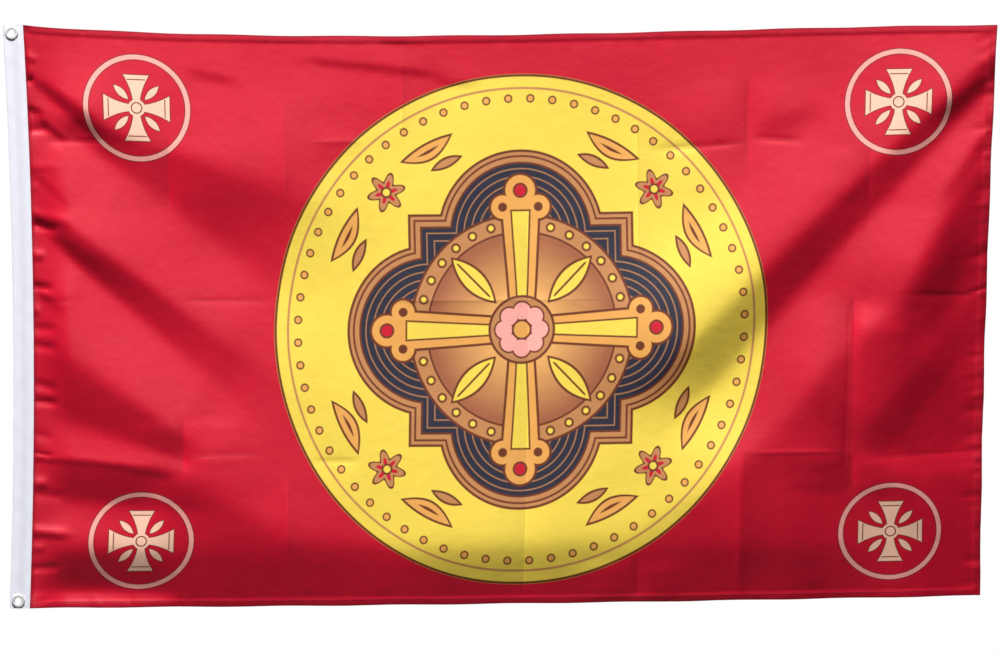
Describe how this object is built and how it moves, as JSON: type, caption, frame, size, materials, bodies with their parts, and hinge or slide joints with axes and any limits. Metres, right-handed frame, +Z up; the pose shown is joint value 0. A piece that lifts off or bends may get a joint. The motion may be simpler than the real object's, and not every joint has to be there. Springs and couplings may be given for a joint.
{
  "type": "hanging religious flag",
  "caption": "Rectangular printed cloth flag hanging by its top corners, with soft diagonal folds, hemmed edges and a canvas heading with metal grommets.",
  "frame": {"origin": "middle of the cloth's top edge, on the line between the two top corners that hold it up, in the heading's middle plane", "axes": "+X along the fly away from the heading, +Z up, the printed face looks along -Y"},
  "size_m": [1.5, 0.1178, 0.88],
  "materials": {
    "printed_cloth": "satin printed polyester",
    "heading_canvas": "plain white canvas",
    "grommet_metal": "satin plated"
  },
  "bodies": {
    "root": {"flag_cloth": "printed_cloth", "heading_tape": "heading_canvas", "eyelet_upper": "grommet_metal", "eyelet_lower": "grommet_metal", "washer_upper": "grommet_metal", "washer_lower": "grommet_metal"}
  },
  "joints": []
}
